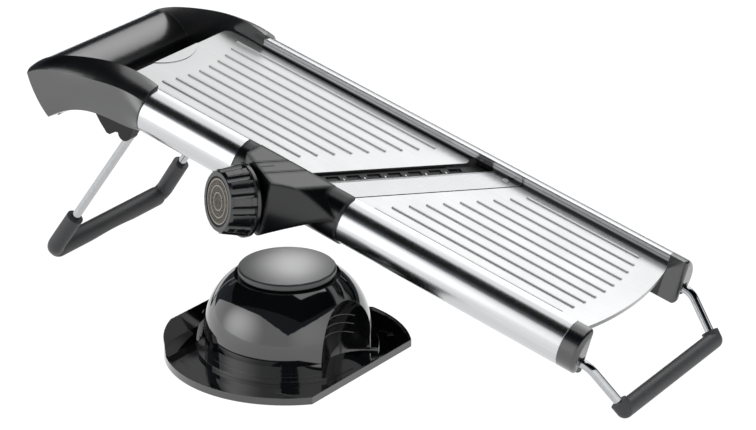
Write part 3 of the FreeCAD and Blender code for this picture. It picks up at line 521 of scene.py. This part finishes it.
def bead_piece(name, paths, size, material, body):
    """One piece made of several beads that ride on a body."""
    corners, faces = [], []
    for path in paths:
        more_corners, more_faces = bead(path, *size)
        faces += [tuple(index + len(corners) for index in face) for face in more_faces]
        corners += more_corners
    mesh = bpy.data.meshes.new(name)
    mesh.from_pydata(corners, [], faces)
    mesh.materials.append(materials[material])
    piece = bpy.data.objects.new(name, mesh)
    bpy.context.scene.collection.objects.link(piece)
    smooth_faces(piece)
    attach(piece, body)


def along_line(start, end, steps):
    return [start.lerp(end, i / steps) for i in range(steps + 1)]


def dropped(tree, points, direction):
    """Path of the points that land on the surface."""
    landed = [drop(tree, point, direction) for point in points]
    return [place for place in landed if place is not None]


def on_knob(tree, t, angle):
    """Point of the knob's side at a place along its axis and an angle round it."""
    centre = cut_point(shaft_s, t, -shaft_drop)
    away = Matrix.Rotation(angle, 3, shaft_axis()) @ deck_normal
    return drop(tree, centre + away * knob_ray, -away)


def knob_pad_frames(tree):
    """Raised outline on each grip pad, open towards the knob's face."""
    paths = []
    corner_t = pad_back_t - pad_corner
    corner_angle = pad_half_angle * pad_corner_share
    for k in range(pad_count):
        middle = 2 * math.pi * k / pad_count
        low, high = middle - pad_half_angle, middle + pad_half_angle
        turn = [(pad_front_t, low), (corner_t, low), (pad_back_t, low + corner_angle),
                (pad_back_t, high - corner_angle), (corner_t, high), (pad_front_t, high)]
        paths.append([on_knob(tree, t, angle) for t, angle in turn])
    bead_piece("knob_pad_frames", paths, pad_bead, "knob_black", "knob")


def knob_numbers(tree):
    """Plain numbers 1 to 6 on every second pad, read along the knob's axis."""
    paths = []
    start = (pad_front_t + pad_back_t - digit_size[0]) / 2
    for index, stroke in enumerate(digit_strokes.values()):
        middle = 2 * math.pi * index * digit_every / pad_count
        points = []
        for x, y in stroke:
            angle = middle + (y - 0.5) * digit_size[1] / knob_radius
            points.append(on_knob(tree, start + x * digit_size[0], -angle))
        paths.append(points)
    bead_piece("knob_numbers", paths, digit_bead, "mark_grey", "knob")


def housing_marks():
    """Two seams and an indicator slot across the top of the knob's housing."""
    tree = surface_of("knob_housing")
    paths = []
    for offset in (-seam_offset, seam_offset):
        s = shaft_s + offset
        end_t = (seam_end_v + s * math.sin(cut_turn)) / math.cos(cut_turn)
        ends = [cut_point(s, t, housing_ray) for t in (seam_start_t, end_t)]
        paths.append(dropped(tree, along_line(*ends, seam_steps), -deck_normal))
    bead_piece("housing_seams", paths, seam_bead, "inner_black", "frame")
    ends = [cut_point(shaft_s, t, housing_ray) for t in (slot_start_t, slot_end_t)]
    slot = [dropped(tree, along_line(*ends, slot_steps), -deck_normal)]
    bead_piece("housing_indicator", slot, slot_bead, "inner_black", "frame")


def scoop_ribs(tree):
    """Three curved grip ribs in each finger scoop."""
    paths = []
    for side in (-1, 1):
        for height in rib_heights:
            path = []
            for i in range(rib_steps + 1):
                share = 2 * i / rib_steps - 1
                angle = rib_half_angle * share
                way = holder_point(-side * math.cos(angle), math.sin(angle), 0) - holder_point(0, 0, 0)
                sag = rib_sag * share ** 2
                path.append(drop(tree, holder_point(side * scoop_at, 0, height - sag), way))
            paths.append([place for place in path if place is not None])
    bead_piece("scoop_ribs", paths, rib_bead, "gloss_black", "holder")


def arrow_lines():
    """Bowed shaft and head of an arrow along x, with its middle at the origin."""
    tip = arrow_length / 2
    barb = arrow_head * arrow_spread
    shaft = []
    for i in range(arrow_steps + 1):
        bow = arrow_bow * math.sin(math.pi * i / arrow_steps)
        shaft.append(Vector((-tip + arrow_length * i / arrow_steps, bow, 0)))
    head = [Vector((tip - arrow_head, barb, 0)), Vector((tip, 0, 0)), Vector((tip - arrow_head, -barb, 0))]
    return shaft, head


def brim_arrows():
    """Small raised arrows round the brim that show how the holder slides."""
    tree = surface_of("holder_base")
    paths = []
    for x, y, turn in arrow_places:
        way = Matrix.Rotation(math.radians(turn), 3, "Z")
        for line in arrow_lines():
            offsets = [way @ point for point in line]
            starts = [holder_point(x + offset.x, y + offset.y, brim_ray) for offset in offsets]
            paths.append(dropped(tree, starts, Vector((0, 0, -1))))
    bead_piece("brim_arrows", paths, arrow_bead, "gloss_black", "holder")


def add_marks():
    knob = surface_of("thickness_knob")
    knob_pad_frames(knob)
    knob_numbers(knob)
    housing_marks()
    scoop_ribs(surface_of("holder_dome"))
    brim_arrows()


def floor_material():
    """White tabletop with a faint gloss: it glows evenly for the camera and keeps soft shadows."""
    material, tree, surface = new_surface("floor_white", {
        "Base Color": (floor_white, floor_white, floor_white, 1), "Roughness": floor_rough,
        "Specular IOR Level": floor_shine,
    })
    rays = node(tree, "ShaderNodeLightPath")
    glow = node(tree, "ShaderNodeEmission", {"Color": (1, 1, 1, 1), "Strength": floor_glow})
    seen = maths(tree, "MULTIPLY", rays.outputs["Is Camera Ray"], floor_glow_share)
    share = maths(tree, "MULTIPLY_ADD", rays.outputs["Is Glossy Ray"], mirror_glow_share, seen)
    mix = node(tree, "ShaderNodeMixShader", {
        "Fac": share, 1: surface.outputs["BSDF"], 2: glow.outputs["Emission"],
    })
    tree.links.new(mix.outputs["Shader"], tree.nodes["Material Output"].inputs["Surface"])
    return material


def add_floor():
    half = floor_size / 2
    mesh = bpy.data.meshes.new("floor")
    corners = [(-half, -half, 0), (half, -half, 0), (half, half, 0), (-half, half, 0)]
    mesh.from_pydata(corners, [], [range(len(corners))])
    floor = bpy.data.objects.new("floor", mesh)
    mesh.materials.append(floor_material())
    bpy.context.scene.collection.objects.link(floor)


def panel_glow(name, spot, reach, edge, peak):
    """Light panel's material: brightest at one spot and dimmer with the distance from it."""
    material = bpy.data.materials.new(name)
    material.use_nodes = True
    tree = material.node_tree
    distance = vector_maths(tree, "DISTANCE", own_place(tree), spot)
    strength = ramp(tree, distance, 0.0, reach, peak, edge, smooth=True)
    glow = node(tree, "ShaderNodeEmission", {"Color": (1, 1, 1, 1), "Strength": strength})
    tree.links.new(glow.outputs["Emission"], tree.nodes["Material Output"].inputs["Surface"])
    return material


def light_panel(name, corners, glow):
    """Flat light panel, unseen by the camera."""
    mesh = bpy.data.meshes.new(name)
    mesh.from_pydata(corners, [], [range(len(corners))])
    mesh.materials.append(panel_glow(name, **glow))
    panel = bpy.data.objects.new(name, mesh)
    panel.visible_camera = False
    panel.visible_shadow = False
    bpy.context.scene.collection.objects.link(panel)
    return panel


def along_wall(start, end, share, height):
    """Point of a wall at a share of its length."""
    return (start[0] + (end[0] - start[0]) * share, start[1] + (end[1] - start[1]) * share, height)


def standing_wall(name, end, top, glow):
    """Wall of light from the corner behind the camera, its top and spot given as shares and heights."""
    foot = [along_wall(wall_corner, end, share, 0.0) for share in (0.0, 1.0)]
    crest = [along_wall(wall_corner, end, share, height) for share, height in reversed(top)]
    spot = along_wall(wall_corner, end, *glow["spot"])
    light_panel(name, foot + crest, {**glow, "spot": spot})


def leaning_panel(name, sides, front, rear, glow):
    """Panel between two sides, from the y and z of its front edge to those of its rear edge."""
    left, right = sides
    corners = [(left, *front), (right, *front), (right, *rear), (left, *rear)]
    return light_panel(name, corners, glow)


def light_only(lamp, node_names):
    """Keeps a lamp's light to the named nodes and gives back the collection that holds them."""
    lit = bpy.data.collections.new(lamp.name + "_lit")
    for node_name in node_names:
        lit.objects.link(frame["nodes"][node_name])
    lamp.light_linking.receiver_collection = lit
    return lit


def add_cap_lamp():
    """Small lamp behind the slicer that lights the food holder's cap alone, past the slicer in its way."""
    data = bpy.data.lights.new("cap_lamp", "AREA")
    data.shape = "DISK"
    data.size = cap_lamp_size
    data.energy = cap_lamp_power
    lamp = bpy.data.objects.new("cap_lamp", data)
    aim = Vector(cap_lamp_place) - holder_point(0, 0, cap_height)
    turn = aim.to_track_quat("Z", "Y").to_matrix().to_4x4()
    lamp.matrix_world = Matrix.Translation(cap_lamp_place) @ turn
    lamp.light_linking.blocker_collection = light_only(lamp, cap_lamp_lit)
    bpy.context.scene.collection.objects.link(lamp)


def add_studio():
    """Two walls of light behind the camera, a panel that leans over from the back and two linked lights."""
    standing_wall("left_wall", left_wall_end, left_wall_top, left_wall_glow)
    standing_wall("right_wall", right_wall_end, right_wall_top, right_wall_glow)
    leaning_panel("back_panel", back_sides, back_front, back_rear, back_glow)
    ceiling = leaning_panel("ceiling", ceiling_sides, ceiling_front, ceiling_rear, ceiling_glow)
    light_only(ceiling, ceiling_lit)
    add_cap_lamp()


def add_world():
    """Dim world that the camera sees as white."""
    world = bpy.data.worlds.new("studio")
    world.use_nodes = True
    tree = world.node_tree
    rays = node(tree, "ShaderNodeLightPath")
    sky = mixed(tree, rays.outputs["Is Camera Ray"], world_tone, (1, 1, 1))
    tree.links.new(sky, tree.nodes["Background"].inputs["Color"])
    bpy.context.scene.world = world


def add_camera():
    data = bpy.data.cameras.new("camera")
    data.lens = camera_lens
    data.sensor_width = sensor_width
    data.clip_end = camera_reach
    camera = bpy.data.objects.new("camera", data)
    aim = Vector(camera_target) - Vector(camera_place)
    turn = aim.to_track_quat("-Z", "Y").to_matrix().to_4x4()
    roll = Matrix.Rotation(camera_roll, 4, "Z")
    camera.matrix_world = Matrix.Translation(camera_place) @ turn @ roll
    bpy.context.scene.collection.objects.link(camera)
    bpy.context.scene.camera = camera
    bpy.context.scene.view_settings.view_transform = "Standard"


with open("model.json") as file:
    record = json.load(file)
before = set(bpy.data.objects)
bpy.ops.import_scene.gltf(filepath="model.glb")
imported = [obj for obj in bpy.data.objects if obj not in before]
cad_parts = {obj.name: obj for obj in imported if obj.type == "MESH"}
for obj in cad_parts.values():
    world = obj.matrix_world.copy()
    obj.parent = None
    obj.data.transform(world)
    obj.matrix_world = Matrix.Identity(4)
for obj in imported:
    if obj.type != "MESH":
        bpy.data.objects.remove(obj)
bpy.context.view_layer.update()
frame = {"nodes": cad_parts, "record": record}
materials = make_materials()
dress_nodes()
add_marks()
add_floor()
add_studio()
add_world()
add_camera()
